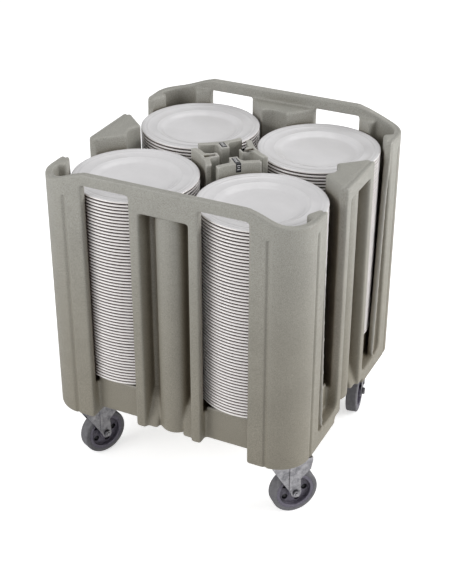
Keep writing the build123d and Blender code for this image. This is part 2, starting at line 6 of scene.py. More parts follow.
import bmesh
import bpy
import numpy as np
import openvdb
from mathutils import Matrix, Vector


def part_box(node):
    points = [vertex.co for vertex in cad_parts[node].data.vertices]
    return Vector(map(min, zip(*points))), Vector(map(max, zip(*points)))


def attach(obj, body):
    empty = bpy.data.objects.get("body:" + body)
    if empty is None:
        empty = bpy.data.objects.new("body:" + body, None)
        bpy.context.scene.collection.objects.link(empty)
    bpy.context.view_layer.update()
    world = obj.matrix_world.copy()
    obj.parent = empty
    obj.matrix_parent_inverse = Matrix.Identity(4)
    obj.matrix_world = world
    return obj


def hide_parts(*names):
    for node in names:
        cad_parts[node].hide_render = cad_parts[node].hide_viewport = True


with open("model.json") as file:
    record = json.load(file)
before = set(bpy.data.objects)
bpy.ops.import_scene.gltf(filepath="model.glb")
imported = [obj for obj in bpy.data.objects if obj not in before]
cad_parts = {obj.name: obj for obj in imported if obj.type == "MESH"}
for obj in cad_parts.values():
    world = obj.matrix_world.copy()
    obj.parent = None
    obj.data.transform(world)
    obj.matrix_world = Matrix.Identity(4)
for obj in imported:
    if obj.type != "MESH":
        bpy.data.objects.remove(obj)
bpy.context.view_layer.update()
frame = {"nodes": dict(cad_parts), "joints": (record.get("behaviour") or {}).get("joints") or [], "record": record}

# ---------------------------------------------------------------- sizes, in metres, from the frame
SIDES = {"front_left": (-1, -1), "front_right": (1, -1), "rear_right": (1, 1), "rear_left": (-1, 1)}
LABELLED = ("front_right", "rear_left")
WALLS = ("body_front_wall", "body_rear_wall", "body_left_tower", "body_right_tower")
TUB_NODES = ("body_base",) + WALLS
BASE_LOW, BASE_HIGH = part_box("body_base")
TOWER_LOW, TOWER_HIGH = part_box("body_right_tower")
HALF = BASE_HIGH.x                      # half the width of the body
BODY_BOTTOM = BASE_LOW.z
DECK = TOWER_LOW.z                      # the walls and the plates stand on it
SHOULDER = TOWER_HIGH.z
RAIL_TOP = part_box("body_front_wall")[1].z
STACK_LOW, STACK_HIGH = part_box("plate_stack_front_right")
PLATE_RADIUS = (STACK_HIGH.x - STACK_LOW.x) / 2
STACK_X = (STACK_HIGH.x + STACK_LOW.x) / 2
STACK_Y = -(STACK_HIGH.y + STACK_LOW.y) / 2
STACK_DISTANCE = sqrt(STACK_X ** 2 + STACK_Y ** 2)
DIVIDER_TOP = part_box("divider_front_right")[1].z
JOINTS = {joint["name"]: joint for joint in frame["joints"]}
SLOT_OF = {part["node"]: part["material_slot"] for part in frame["record"]["subparts"]}
UP = Vector((0, 0, 1))


# ---------------------------------------------------------------- node materials
WHITE = (1.0, 1.0, 1.0)
SHADE_FADE_LOW, SHADE_FADE_HIGH = 0.19, 0.90        # heights between which the plastic grows paler, as painted shade towards the bottom fades out
AO_SAMPLES = 8


def material(name, roughness, metallic=0.0, specular=0.5, coat=0.0):
    """New node material: gives the material, its node tree and its principled shader."""
    mat = bpy.data.materials.new(name)
    mat.use_nodes = True
    tree = mat.node_tree
    shader = tree.nodes["Principled BSDF"]
    shader.inputs["Roughness"].default_value = roughness
    shader.inputs["Metallic"].default_value = metallic
    shader.inputs["Specular IOR Level"].default_value = specular
    shader.inputs["Coat Weight"].default_value = coat
    return mat, tree, shader


def add_node(tree, kind, **values):
    """One node; a value is a setting of the node where it has one of that name, and an input otherwise."""
    node = tree.nodes.new(kind)
    for key, value in values.items():
        if hasattr(node, key):
            setattr(node, key, value)
        else:
            node.inputs[key.replace("_", " ")].default_value = value
    return node


def place_texture(tree):
    """Object coordinates, so that the grain has its real size."""
    return tree.nodes.new("ShaderNodeTexCoord").outputs["Object"]


def noise(tree, place, scale, detail, rough):
    """Grey noise, with about as many cells per metre as its scale says."""
    node = add_node(tree, "ShaderNodeTexNoise", Scale=scale, Detail=detail, Roughness=rough)
    tree.links.new(place, node.inputs["Vector"])
    return node.outputs["Fac"]


def ramp(tree, factor, stops):
    """Colour ramp from a list of position and colour or grey."""
    node = tree.nodes.new("ShaderNodeValToRGB")
    elements = node.color_ramp.elements
    while len(elements) < len(stops):
        elements.new(0.5)
    for element, (position, colour) in zip(elements, stops):
        element.position = position
        element.color = (*colour, 1) if isinstance(colour, tuple) else (colour, colour, colour, 1)
    tree.links.new(factor, node.inputs["Fac"])
    return node.outputs["Color"]


def mix(tree, first, second, factor, blend="MIX"):
    """Blend of two colours; each of the three values is a socket, a colour or a number."""
    node = tree.nodes.new("ShaderNodeMix")
    node.data_type = "RGBA"
    node.blend_type = blend
    for socket, value in ((node.inputs[0], factor), (node.inputs[6], first), (node.inputs[7], second)):
        if isinstance(value, bpy.types.NodeSocket):
            tree.links.new(value, socket)
        elif isinstance(value, tuple):
            socket.default_value = (*value, 1)
        else:
            socket.default_value = value
    return node.outputs[2]


def multiply(tree, first, second):
    """Product of two colours."""
    return mix(tree, first, second, 1.0, "MULTIPLY")


def bump(tree, shader, height, strength, distance):
    """Relief on a shader from a grey height, over a distance in metres."""
    node = add_node(tree, "ShaderNodeBump", Strength=strength, Distance=distance)
    tree.links.new(height, node.inputs["Height"])
    tree.links.new(node.outputs["Normal"], shader.inputs["Normal"])


def painted_crevice_shade(tree, reach, stops):
    """Painted shade: colour that darkens where surfaces close in on each other within a reach."""
    closeness = add_node(tree, "ShaderNodeAmbientOcclusion", Distance=reach, samples=AO_SAMPLES)
    return ramp(tree, closeness.outputs["AO"], stops)


def painted_edge_highlight(tree, reach, strength):
    """Factor of a painted highlight, which rises along outer edges, within a reach of them."""
    thinness = add_node(tree, "ShaderNodeAmbientOcclusion", Distance=reach, samples=AO_SAMPLES, inside=True)
    return ramp(tree, thinness.outputs["AO"], [(0.42, strength), (0.80, 0.0)])


def speckled_plastic(name, reach, gain):
    """Speckled warm grey polyethylene, satin, with a fine orange-peel skin.

    Painted shade makes it browner and darker in recesses, where surfaces lie within a reach of each other, and
    towards the bottom; a painted highlight makes its outer edges paler. Gain makes it all paler.
    """
    mat, tree, shader = material(name, roughness=0.48, specular=0.4)
    place = place_texture(tree)
    fleck = ramp(tree, noise(tree, place, scale=640, detail=2.0, rough=0.6),
                 [(0.34, (0.255, 0.250, 0.222)), (0.62, (0.400, 0.394, 0.360))])
    cloud = ramp(tree, noise(tree, place, scale=9, detail=4.0, rough=0.55), [(0.3, 0.94), (0.7, 1.05)])
    colour = multiply(tree, fleck, cloud)
    # Painted shade: browner and darker towards the bottom, fading out upwards
    height = tree.nodes.new("ShaderNodeSeparateXYZ")
    tree.links.new(place, height.inputs["Vector"])
    level = add_node(tree, "ShaderNodeMapRange", From_Min=SHADE_FADE_LOW, From_Max=SHADE_FADE_HIGH)
    tree.links.new(height.outputs["Z"], level.inputs["Value"])
    height_shade = ramp(tree, level.outputs[0],
                [(0.0, (0.72, 0.67, 0.59)), (0.5, (0.80, 0.77, 0.72)), (1.0, WHITE)])
    colour = multiply(tree, colour, height_shade)
    # Painted shade, brown and dark, in recesses
    shade = painted_crevice_shade(tree, reach, [(0.18, (0.20, 0.16, 0.11)), (0.42, (0.66, 0.61, 0.54)), (0.66, WHITE)])
    colour = multiply(tree, colour, shade)
    colour = multiply(tree, colour, (gain, gain, gain))
    # Painted highlight: paler along outer edges
    colour = mix(tree, colour, (0.60, 0.59, 0.56), painted_edge_highlight(tree, reach=0.007, strength=0.55))
    tree.links.new(colour, shader.inputs["Base Color"])
    sheen = ramp(tree, noise(tree, place, scale=60, detail=3.0, rough=0.6), [(0.3, 0.36), (0.7, 0.50)])
    tree.links.new(sheen, shader.inputs["Roughness"])
    bump(tree, shader, noise(tree, place, scale=420, detail=3.0, rough=0.6), strength=0.35, distance=0.0006)
    return mat


def moulded_plastic():
    """Plastic of the tub."""
    return speckled_plastic("moulded_plastic", reach=0.07, gain=1.0)


def divider_plastic():
    """As the tub, with painted shade that darkens its pockets, and paler heads."""
    return speckled_plastic("divider_plastic", reach=0.03, gain=1.16)


def white_china():
    """Glossy white glaze with faint mottling; painted shade makes it brown and dark where plates lie close on each
    other, and a painted highlight makes faces that turn away from straight up paler.
    """
    mat, tree, shader = material("white_china", roughness=0.16, coat=0.3)
    shader.inputs["Coat Roughness"].default_value = 0.05
    place = place_texture(tree)
    glaze = ramp(tree, noise(tree, place, scale=14, detail=4.0, rough=0.6),
                 [(0.3, (0.70, 0.69, 0.70)), (0.7, (0.75, 0.74, 0.75))])
    # Painted highlight: faces that turn away from straight up, such as the rims seen from the side, are painted
    # paler than the tops
    normal = tree.nodes.new("ShaderNodeNewGeometry")
    facing = tree.nodes.new("ShaderNodeSeparateXYZ")
    tree.links.new(normal.outputs["Normal"], facing.inputs["Vector"])
    edge = ramp(tree, facing.outputs["Z"], [(0.35, 1.0), (0.75, 0.0)])
    colour = mix(tree, glaze, (0.94, 0.90, 0.88), edge)
    # Painted shade, brown and dark, where plates lie close on each other
    shade = painted_crevice_shade(tree, 0.010, [(0.20, (0.13, 0.085, 0.065)), (0.42, (0.62, 0.54, 0.50)), (0.56, WHITE)])
    colour = multiply(tree, colour, shade)
    tree.links.new(colour, shader.inputs["Base Color"])
    bump(tree, shader, noise(tree, place, scale=45, detail=2.0, rough=0.5), strength=0.05, distance=0.0004)
    return mat


def zinc_steel():
    """Dull zinc plate on pressed steel, mottled, with painted shade near black in its crevices."""
    mat, tree, shader = material("zinc_steel", roughness=0.32, metallic=1.0)
    place = place_texture(tree)
    colour = ramp(tree, noise(tree, place, scale=70, detail=6.0, rough=0.7),
                  [(0.30, (0.20, 0.20, 0.215)), (0.70, (0.56, 0.55, 0.575))])
    # Painted shade, near black, in crevices
    shade = painted_crevice_shade(tree, 0.02, [(0.30, (0.05, 0.05, 0.06)), (0.86, WHITE)])
    colour = multiply(tree, colour, shade)
    tree.links.new(colour, shader.inputs["Base Color"])
    dull = ramp(tree, noise(tree, place, scale=300, detail=3.0, rough=0.6), [(0.3, 0.26), (0.7, 0.44)])
    tree.links.new(dull, shader.inputs["Roughness"])
    bump(tree, shader, noise(tree, place, scale=700, detail=2.0, rough=0.5), strength=0.15, distance=0.0003)
    return mat


def wheel_plastic():
    """Dark purple-grey polypropylene of the wheel cores, with painted shade that darkens it in recesses."""
    mat, tree, shader = material("wheel_plastic", roughness=0.42)
    place = place_texture(tree)
    colour = ramp(tree, noise(tree, place, scale=220, detail=3.0, rough=0.6),
                  [(0.3, (0.095, 0.085, 0.115)), (0.7, (0.170, 0.158, 0.200))])
    # Painted shade in recesses
    shade = painted_crevice_shade(tree, 0.025, [(0.25, (0.22, 0.20, 0.22)), (0.80, WHITE)])
    colour = multiply(tree, colour, shade)
    tree.links.new(colour, shader.inputs["Base Color"])
    bump(tree, shader, noise(tree, place, scale=800, detail=2.0, rough=0.5), strength=0.2, distance=0.0003)
    return mat


def wheel_tread():
    """Grey thermoplastic rubber, matt, a little dusty."""
    mat, tree, shader = material("wheel_tread", roughness=0.72, specular=0.3)
    place = place_texture(tree)
    colour = ramp(tree, noise(tree, place, scale=90, detail=5.0, rough=0.65),
                  [(0.3, (0.130, 0.128, 0.138)), (0.7, (0.190, 0.188, 0.198))])
    tree.links.new(colour, shader.inputs["Base Color"])
    bump(tree, shader, noise(tree, place, scale=600, detail=4.0, rough=0.6), strength=0.3, distance=0.0004)
    return mat


def label_plastic():
    """Near-black insert of the divider heads."""
    mat, tree, shader = material("label_plastic", roughness=0.35)
    place = place_texture(tree)
    colour = ramp(tree, noise(tree, place, scale=500, detail=2.0, rough=0.5),
                  [(0.3, (0.012, 0.012, 0.014)), (0.7, (0.028, 0.028, 0.032))])
    tree.links.new(colour, shader.inputs["Base Color"])
    return mat


def label_mark():
    """Pale print of the tick marks."""
    mat, tree, shader = material("label_mark", roughness=0.5)
    place = place_texture(tree)
    colour = ramp(tree, noise(tree, place, scale=700, detail=2.0, rough=0.5), [(0.3, 0.62), (0.7, 0.78)])
    tree.links.new(colour, shader.inputs["Base Color"])
    return mat


MAKERS = (moulded_plastic, divider_plastic, white_china, zinc_steel, wheel_plastic, wheel_tread, label_plastic,
          label_mark)
FINISH = {make.__name__: make() for make in MAKERS}


# ---------------------------------------------------------------- mesh helpers
def new_piece(name, verts, faces, slot, body, smooth=True, finish=None):
    """Mesh object from points and faces, with its finish, riding on a body."""
    mesh = bpy.data.meshes.new(name)
    mesh.from_pydata([tuple(v) for v in verts], [], [tuple(f) for f in faces])
    return dress(bpy.data.objects.new(name, mesh), slot, body, smooth, finish)


def dress(piece, slot, body, smooth=True, finish=None):
    """Put a new piece into the scene with a finish (its slot's own, if none is given), and let it ride."""
    bpy.context.scene.collection.objects.link(piece)
    piece.data.materials.clear()
    piece.data.materials.append(FINISH[finish or slot])
    piece.data.polygons.foreach_set("use_smooth", [smooth] * len(piece.data.polygons))
    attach(piece, body)
    return piece


def bar(middle, along, across, up, size):
    """Points and faces of a box from its middle, its three directions and its sizes along them."""
    corners = [middle + along * (a * size[0] / 2) + across * (b * size[1] / 2) + up * (c * size[2] / 2)
               for a in (-1, 1) for b in (-1, 1) for c in (-1, 1)]
    sides = [(0, 1, 3, 2), (4, 6, 7, 5), (0, 4, 5, 1), (2, 3, 7, 6), (0, 2, 6, 4), (1, 5, 7, 3)]
    return corners, sides


def bars(name, boxes, slot, body, finish=None):
    """One piece from several boxes."""
    verts, faces = [], []
    for points, sides in boxes:
        faces += [tuple(len(verts) + corner for corner in side) for side in sides]
        verts += points
    new_piece(name, verts, faces, slot, body, smooth=False, finish=finish)


def triangles(node):
    """Points and triangles of a CAD node."""
    mesh = frame["nodes"][node].data
    mesh.calc_loop_triangles()
    points = np.array([vertex.co for vertex in mesh.vertices], np.float32)
    faces = np.array([triangle.vertices for triangle in mesh.loop_triangles], np.uint32)
    return points, faces


# ---------------------------------------------------------------- distance fields
VOXEL = 0.0026
BAND = 5.0                              # half width of the distance band, in voxels
MARGIN = 5                              # free voxels round the solids
SOFTENING = 1.2                         # blur of the field, in voxels: sets how round the edges are
CORNER_CENTRE = HALF - 0.088            # middle of each rounded corner of the body, seen from above


def common(*distances):
    """Distance to what several solids share."""
    return reduce(np.maximum, distances)


class Field:
    """Signed distance on a dense grid: solids are joined into it, then its skin becomes a mesh."""

    def __init__(self, low, high, voxel):
        self.voxel = voxel
        self.start = np.floor(np.array(low) / voxel).astype(int) - MARGIN
        self.count = np.ceil(np.array(high) / voxel).astype(int) + MARGIN - self.start
        self.limit = BAND * voxel
        self.value = np.full(self.count, self.limit, np.float32)
        axes = [(self.start[k] + np.arange(self.count[k])) * voxel for k in range(3)]
        self.x = axes[0][:, None, None].astype(np.float32)
        self.y = axes[1][None, :, None].astype(np.float32)
        self.z = axes[2][None, None, :].astype(np.float32)

    def join(self, distance):
        """Add a solid."""
        np.minimum(self.value, distance, out=self.value)

    def join_mesh(self, points, faces):
        """Add the solid inside a closed mesh."""
        transform = openvdb.createLinearTransform(voxelSize=self.voxel)
        grid = openvdb.FloatGrid.createLevelSetFromPolygons(
            points, triangles=faces, transform=transform, halfWidth=BAND)
        dense = np.full(self.count, self.limit, np.float32)
        grid.copyToArray(dense, ijk=tuple(int(k) for k in self.start))
        self.join(dense)

    def block(self, low, high):
        """Distance to an upright box."""
        return common(*(np.maximum(lo - axis, axis - hi)
                        for axis, lo, hi in zip((self.x, self.y, self.z), low, high)))

    def body_faces(self):
        """For each of the four upright faces of the body: the place along it and the distance inwards from it."""
        for sign in (-1, 1):
            yield self.x, HALF - sign * self.y
            yield self.y, HALF - sign * self.x

    def plan_depth(self):
        """Distance inwards from the rounded square outline of the body, seen from above."""
        radius = HALF - CORNER_CENTRE
        beyond_x = np.maximum(np.abs(self.x) - CORNER_CENTRE, 0)
        beyond_y = np.maximum(np.abs(self.y) - CORNER_CENTRE, 0)
        straight = np.minimum(HALF - np.abs(self.x), HALF - np.abs(self.y))
        rounded = radius - np.sqrt(beyond_x ** 2 + beyond_y ** 2)
        return np.where((beyond_x > 0) & (beyond_y > 0), rounded, straight)

    def notch(self, depth, line):
        """Cut a groove into a face: line gives how deep it goes at each place, below zero outside it."""
        np.maximum(self.value, np.where(line > -self.limit, line - depth, -self.limit), out=self.value)

    def soften(self, sigma):
        """Blur the field a little, which rounds every edge and inner corner."""
        np.clip(self.value, -self.limit, self.limit, out=self.value)
        reach = int(3 * sigma + 0.5)
        weights = np.exp(-0.5 * (np.arange(-reach, reach + 1) / sigma) ** 2)
        weights /= weights.sum()
        for axis in range(3):
            widths = [(reach, reach) if k == axis else (0, 0) for k in range(3)]
            padded = np.pad(self.value, widths, mode="edge")
            total = np.zeros_like(self.value)
            for index, weight in enumerate(weights):
                window = [slice(None)] * 3
                window[axis] = slice(index, index + self.count[axis])
                total += np.float32(weight) * padded[tuple(window)]
            self.value = total

    def skin(self):
        """Points and quads of the surface."""
        grid = openvdb.FloatGrid(self.limit)
        grid.transform = openvdb.createLinearTransform(voxelSize=self.voxel)
        grid.copyFromArray(self.value, ijk=tuple(int(k) for k in self.start))
        return grid.convertToQuads(isovalue=0)


# ---------------------------------------------------------------- moulded tub
ON_DECK = 1e-4                          # points this near to the deck lie on it

BASE_FILL = HALF - 0.034                # solid middle of the base: half its width,
BASE_FILL_LIFT = 0.0175                 # how far it starts above the bottom
BASE_FILL_DROP = 0.0005                 # and how far it ends below the deck
CORNER_FILL = HALF - 0.1375             # solid corners of the base: where they begin,
CORNER_FILL_RADIUS = 0.0865             # their outer rounding
CORNER_FILL_GAP = 0.001                 # and how far they stay within the base's height

CORE_HALF = 0.040                       # block inside each tower and boss: half its width,
CORE_NEAR, CORE_FAR = HALF - 0.052, HALF - 0.064
CORE_SINK = 0.01                        # how far it reaches below the deck
CORE_DROP = 0.004                       # and how far it ends below the shoulder

GROOVE_TOP = RAIL_TOP - 0.068
GROOVE_RUN_OUT = 1.2                    # slope by which a groove grows shallow above that
GROOVE_DEPTH = 0.0052
GROOVE_STEEP = 2.2                      # slope of its wall on the window side ...
GROOVE_GENTLE = 0.62                    # ... and on the corner side
GROOVE_FLAT = 0.003

TOE_BOTTOM = BODY_BOTTOM + 0.0185
TOE_RISE = 0.02                         # how far a toe reaches above the deck
TOE_SHALLOW = 0.008                     # depth of a flute at its lower end
TOE_SLOPE = 0.36                        # by which it grows upwards
TOE_BACK = 0.053
FLUTE_SPAN = (0.036, 0.068)

JAMB_EDGE = HALF - 0.138
LIP_TOP = JAMB_EDGE - 0.003             # middle of the lip at the shoulder ...
LIP_BOTTOM = JAMB_EDGE - 0.036          # ... and where it meets the side skirt
LIP_WIDTH = 0.0066
LIP_FRONT = 0.0015                      # its face, in from the face of the body
LIP_BACK = 0.0215                       # stays clear of the plates
LIP_DROP = 0.002                        # how far it ends below the shoulder
CHANNEL_DEPTH = 0.0135
CHANNEL_LOW = BODY_BOTTOM + 0.040
CHANNEL_OVERLAP = 0.004                 # by which its floor runs into the jamb

RIM_INSET = 0.011                       # middle of the line along the rim, in from the outline
RIM_WIDTH = 0.0034
RIM_HEIGHT = 0.006
RIM_DEPTH = 0.0021


def fill_base(field):
    """Solid middle and solid corners of the base, a little inside its skin."""
    field.join(field.block((-BASE_FILL, -BASE_FILL, BODY_BOTTOM + BASE_FILL_LIFT),
                           (BASE_FILL, BASE_FILL, DECK - BASE_FILL_DROP)))
    upright = np.maximum(BODY_BOTTOM + CORNER_FILL_GAP - field.z, field.z - DECK + CORNER_FILL_GAP)
    for sx in (-1, 1):
        for sy in (-1, 1):
            beyond_x = np.maximum(sx * field.x - CORNER_CENTRE, 0)
            beyond_y = np.maximum(sy * field.y - CORNER_CENTRE, 0)
            ring = np.sqrt(beyond_x ** 2 + beyond_y ** 2) - CORNER_FILL_RADIUS
            inner = np.maximum(CORNER_FILL - sx * field.x, CORNER_FILL - sy * field.y)
            field.join(common(ring, inner, upright))


def fill_cores(field):
    """Block inside the tower or boss in the middle of each side."""
    low, high = DECK - CORE_SINK, SHOULDER - CORE_DROP
    for sign in (-1, 1):
        near, far = sorted((sign * CORE_NEAR, sign * CORE_FAR))
        field.join(field.block((-CORE_HALF, near, low), (CORE_HALF, far, high)))
        field.join(field.block((near, -CORE_HALF, low), (far, CORE_HALF, high)))


def flute_toes(field):
    """Flutes run out smoothly at their lower ends."""
    level = TOE_SHALLOW + (field.z - TOE_BOTTOM) * TOE_SLOPE
    upright = np.maximum(TOE_BOTTOM - field.z, field.z - DECK - TOE_RISE)
    for along, depth in field.body_faces():
        span = np.maximum(FLUTE_SPAN[0] - np.abs(along), np.abs(along) - FLUTE_SPAN[1])
        field.join(common(level - depth, depth - TOE_BACK, np.maximum(span, upright)))


def slot_lips(field):
    """Lip along the outer border of each slot in the left and right faces, with a channel that widens downwards."""
    fall = (SHOULDER - field.z) / (SHOULDER - CHANNEL_LOW)
    middle = LIP_TOP + (LIP_BOTTOM - LIP_TOP) * fall
    upright = np.maximum(CHANNEL_LOW - field.z, field.z - SHOULDER + LIP_DROP)
    for sx in (-1, 1):
        depth = HALF - sx * field.x
        behind = np.maximum(depth - LIP_BACK, upright)
        for sy in (-1, 1):
            across = sy * field.y
            channel = np.maximum(middle - across, across - JAMB_EDGE - CHANNEL_OVERLAP)
            lip = np.abs(across - middle) - LIP_WIDTH / 2
            field.join(common(CHANNEL_DEPTH - depth, channel, behind))
            field.join(common(LIP_FRONT - depth, lip, behind))


def rim_line(field):
    """Shallow line along the top of the rim."""
    line = np.exp(-((field.plan_depth() - RIM_INSET) / RIM_WIDTH) ** 2) * (field.z > SHOULDER - RIM_HEIGHT)
    field.value += np.float32(RIM_DEPTH) * line.astype(np.float32)


def corner_grooves(field):
    """Grooves beside each rounded corner, with a steep and a gentle wall, as deep as they look in the moulding."""
    stop = np.maximum(field.z - GROOVE_TOP, 0) * GROOVE_RUN_OUT
    for along, depth in field.body_faces():
        for end in (-1, 1):
            past = end * along - (CORNER_CENTRE - GROOVE_FLAT)
            walls = np.maximum(-past * GROOVE_STEEP, (past - GROOVE_FLAT) * GROOVE_GENTLE)
            line = GROOVE_DEPTH - np.maximum(walls, 0) - stop
            field.notch(depth, line.astype(np.float32))


def tub():
    """The moulded body as one seamless piece with rounded edges."""
    field = Field(BASE_LOW, (HALF, HALF, RAIL_TOP), VOXEL)
    for node in TUB_NODES:
        points, faces = triangles(node)
        if node in WALLS:       # walls are let into the base, so that no seam shows
            points[np.abs(points[:, 2] - DECK) < ON_DECK, 2] -= BAND * VOXEL
        field.join_mesh(points, faces)
    fill_base(field)
    fill_cores(field)
    flute_toes(field)
    slot_lips(field)
    field.soften(SOFTENING)
    rim_line(field)
    corner_grooves(field)
    points, quads = field.skin()
    piece = new_piece("moulded_tub", points, quads, "moulded_plastic", "cart")
    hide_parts(*TUB_NODES)


# ---------------------------------------------------------------- plates
# profiles: radius and height in millimetres
PLATE_TOP = [(0.0, 8.6), (40, 8.7), (74, 8.9), (92, 9.3), (98, 10.2), (103, 12.6), (107, 15.0), (111, 16.3),
             (116, 17.2), (117.2, 17.9), (118.6, 17.7), (130, 19.0), (142, 20.4), (143.0, 21.0), (144.4, 20.8),
             (150, 21.5), (151.0, 22.1), (152.4, 22.0), (157, 22.8), (159.6, 22.6), (160.8, 21.4)]
PLATE_UNDER = [(160.9, 19.6), (160.2, 18.0), (158.0, 17.3), (140, 15.4), (118, 12.2), (106, 8.4), (99, 4.6),
               (93.5, 3.2), (92.2, 2.6), (91.6, 0.4), (90.8, 0.1), (87.6, 0.1), (86.6, 0.5), (86.0, 2.9),
               (60, 3.1), (0.0, 3.2)]
HIDDEN_TOP = [(112, 16.6), (130, 19.0), (150, 21.6), (157, 22.8), (159.6, 22.6), (160.8, 21.4)]
HIDDEN_UNDER = PLATE_UNDER[:8]
ON_AXIS = 0.01
PLATE_SEGMENTS = 88
PLATE_COUNT = 60
PLATE_PITCH = 0.0088
PLATE_SHIFT = 0.00035                   # most by which a plate lies off its stack
PLATE_SEED = 7


def turned(profile, segments):
    """Closed surface of revolution about Z from a profile in millimetres; ends on the axis are points."""
    verts, faces, rings = [], [], []
    for radius, height in profile:
        if radius < ON_AXIS:
            rings.append([len(verts)])
            verts.append((0, 0, height / 1000))
        else:
            rings.append(list(range(len(verts), len(verts) + segments)))
            for step in range(segments):
                angle = 2 * pi * step / segments
                verts.append((radius * cos(angle) / 1000, radius * sin(angle) / 1000, height / 1000))
    closed = len(rings[0]) > 1
    for lower, upper in zip(rings, rings[1:] + rings[:1] if closed else rings[1:]):
        for step in range(segments):
            after = (step + 1) % segments
            if len(lower) == 1:
                faces.append((lower[0], upper[step], upper[after]))
            elif len(upper) == 1:
                faces.append((lower[step], upper[0], lower[after]))
            else:
                faces.append((lower[step], upper[step], upper[after], lower[after]))
    return verts, faces


def plate_stack_mesh():
    """Sixty nested plates, each a closed turned form, slightly shifted as hand-stacked plates are."""
    random = np.random.default_rng(PLATE_SEED)
    full = turned(PLATE_TOP + PLATE_UNDER, PLATE_SEGMENTS)
    hidden = turned(HIDDEN_TOP + HIDDEN_UNDER, PLATE_SEGMENTS)
    verts, faces = [], []
    for index in range(PLATE_COUNT):
        points, sides = full if index in (0, PLATE_COUNT - 1) else hidden
        shift = random.uniform(-PLATE_SHIFT, PLATE_SHIFT, 2)
        turn = random.uniform(0, 2 * pi)
        base = len(verts)
        for x, y, z in points:
            verts.append((x * cos(turn) - y * sin(turn) + shift[0], x * sin(turn) + y * cos(turn) + shift[1],
                          z + index * PLATE_PITCH))
        faces += [tuple(base + corner for corner in side) for side in sides]
    mesh = bpy.data.meshes.new("plates")
    mesh.from_pydata(verts, [], faces)
    return mesh


def plates():
    """The four stacks, which share one mesh."""
    mesh = plate_stack_mesh()
    for corner, (sx, sy) in SIDES.items():
        piece = bpy.data.objects.new(f"plates_{corner}", mesh)
        piece.location = (sx * STACK_X, sy * STACK_Y, DECK)
        dress(piece, "white_china", f"plates_{corner}")
        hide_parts(f"plate_stack_{corner}")


# ---------------------------------------------------------------- CAD parts that keep their shape
FLAT_ANGLE = radians(1.0)               # facets that differ less are merged
SHARP_ANGLE = radians(32)               # edges that turn more are rounded

# caster parts by the body that they ride on: name and width of the rounded edges
CART_PARTS = (("top_plate", 0.0006), ("mount_bolts", 0.0005), ("ball_race", 0.0010), ("kingpin", 0.0008))
SWIVEL_PARTS = (("fork", 0.0008), ("axle_bolt", 0.0005), ("axle_nut", 0.0005))
WHEEL_PARTS = (("bearing_sleeve", 0.0004), ("wheel_core", 0.0012), ("tread", 0.0008))

# near-black disc in each wheel core, a painted shade inside its holes
SHADE_DISC_SEGMENTS = 48
SHADE_DISC_INNER, SHADE_DISC_OUTER = 0.021, 0.0405
SHADE_DISC_HALF = 0.001                        # half its thickness

DIVIDER_EDGE, TONGUE_EDGE, LABEL_EDGE = 0.0022, 0.0006, 0.0005
DIVIDER_FACE = STACK_DISTANCE - PLATE_RADIUS - 0.014

TICKS = (0.0085, 0.0050, 0.0085, 0.0050, 0.0085)
TICK_WIDTH = 0.0014
TICK_PITCH = 0.0048
TICK_HEIGHT = 0.0010
TICK_RAISE = 0.0003
WRAP_WIDTH = 0.0136
WRAP_TICKS = TICKS[:3]                  # ticks on the side of a divider: their lengths,
WRAP_TICK_FIRST = 0.005                 # the first one below the top
WRAP_TICK_PITCH = 0.0055                # and the steps to the next
WRAP_TICK_RAISE = 0.0007
WRAP_TICK_HEIGHT = 0.0006


def polished(node, body, round_edge, finish=None):
    """Copy of a CAD node with merged facets and small rounded edges, which stands for it."""
    piece = bpy.data.objects.new(f"{node}_finish", frame["nodes"][node].data.copy())
    work = bmesh.new()
    work.from_mesh(piece.data)
    bmesh.ops.remove_doubles(work, verts=work.verts, dist=1e-6)
    bmesh.ops.dissolve_limit(work, angle_limit=FLAT_ANGLE, verts=work.verts, edges=work.edges)
    sharp = [edge for edge in work.edges if len(edge.link_faces) == 2 and edge.calc_face_angle(0) > SHARP_ANGLE]
    bmesh.ops.bevel(work, geom=sharp, offset=round_edge, segments=2, profile=0.6, affect="EDGES",
                    clamp_overlap=True)
    work.to_mesh(piece.data)
    work.free()
    dress(piece, SLOT_OF[node], body, finish=finish)
    weighted = piece.modifiers.new("even normals", "WEIGHTED_NORMAL")
    weighted.keep_sharp = True
    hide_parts(node)


def wheel_shade_disc(corner):
    """Thin near-black disc in the middle of a wheel core, which closes its holes halfway through and paints the
    shade inside them.
    """
    joint = JOINTS[f"caster_{corner}_wheel"]
    middle = Vector(joint["pos_m"])
    axle = Vector(joint["axis"]).normalized()
    flat = UP.cross(axle)
    verts, faces = [], []
    rings = ((SHADE_DISC_INNER, -1), (SHADE_DISC_OUTER, -1), (SHADE_DISC_OUTER, 1), (SHADE_DISC_INNER, 1))
    for radius, side in rings:
        for step in range(SHADE_DISC_SEGMENTS):
            angle = 2 * pi * step / SHADE_DISC_SEGMENTS
            spoke = (flat * cos(angle) + UP * sin(angle)) * radius
            verts.append(middle + spoke + axle * (side * SHADE_DISC_HALF))
    for ring in range(len(rings)):
        here, there = ring * SHADE_DISC_SEGMENTS, (ring + 1) % len(rings) * SHADE_DISC_SEGMENTS
        for step in range(SHADE_DISC_SEGMENTS):
            after = (step + 1) % SHADE_DISC_SEGMENTS
            faces.append((here + step, here + after, there + after, there + step))
    # near-black finish paints the shade inside the core's holes
    new_piece(f"wheel_shade_disc_{corner}", verts, faces, "wheel_plastic", f"wheel_{corner}", finish="label_plastic")


def casters():
    """All four casters, part by part."""
    for corner in SIDES:
        for body, parts in (("cart", CART_PARTS), (f"swivel_{corner}", SWIVEL_PARTS),
                            (f"wheel_{corner}", WHEEL_PARTS)):
            for part, round_edge in parts:
                polished(f"caster_{corner}_{part}", body, round_edge)
        wheel_shade_disc(corner)


